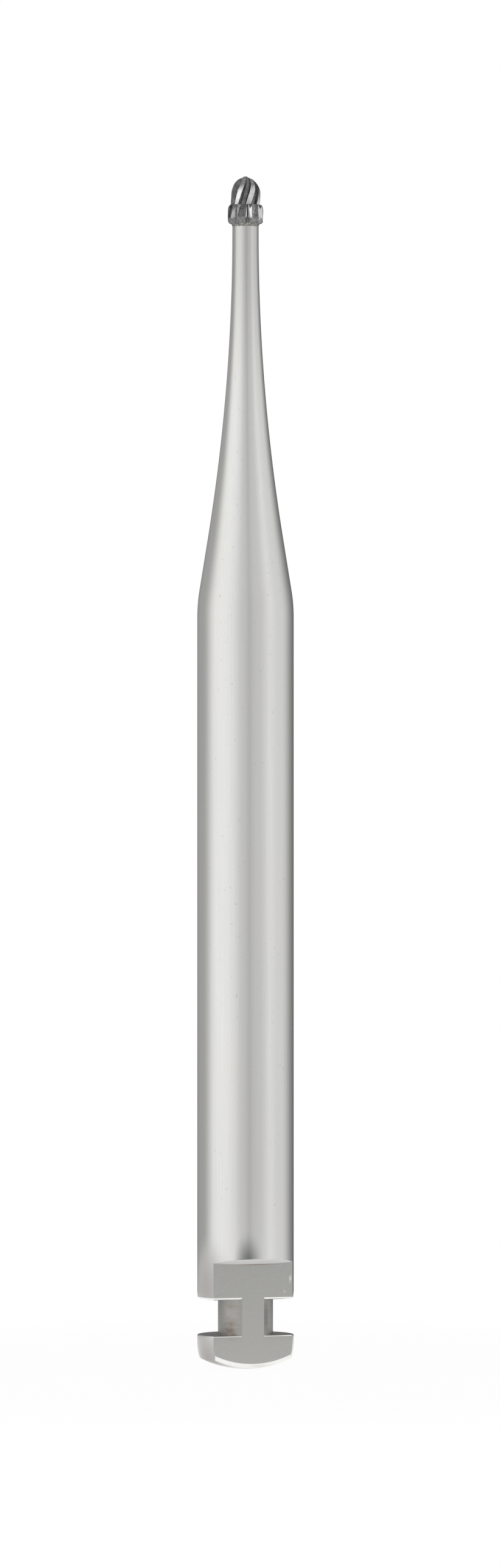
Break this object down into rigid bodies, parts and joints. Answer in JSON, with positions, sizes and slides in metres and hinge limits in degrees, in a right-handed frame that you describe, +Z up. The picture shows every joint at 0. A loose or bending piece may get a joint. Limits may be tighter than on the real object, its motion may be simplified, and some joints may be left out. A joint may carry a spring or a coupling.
{
  "type": "carbide burr",
  "caption": "Long-neck rotary cutter for a right-angle handpiece: latch shank with a drive flat, slim tapered neck and a small fluted dome head above a toothed crown.",
  "frame": {"origin": "lowest point of the domed latch end, on the burr's axis", "axes": "+Z up the axis from the latch end to the tip of the head; -Y is the drive flat's normal; +X completes the frame"},
  "size_m": [0.0024, 0.0024, 0.029],
  "materials": {
    "shank_steel": "satin, fine lengthwise streaks, a little rust in the groove",
    "silver_braze": "dull, mottled",
    "tungsten_carbide": "ground, dark grey with bright lands"
  },
  "bodies": {
    "root": {"shank": "shank_steel", "braze_joint": "silver_braze", "cutting_head": "tungsten_carbide"}
  },
  "joints": []
}
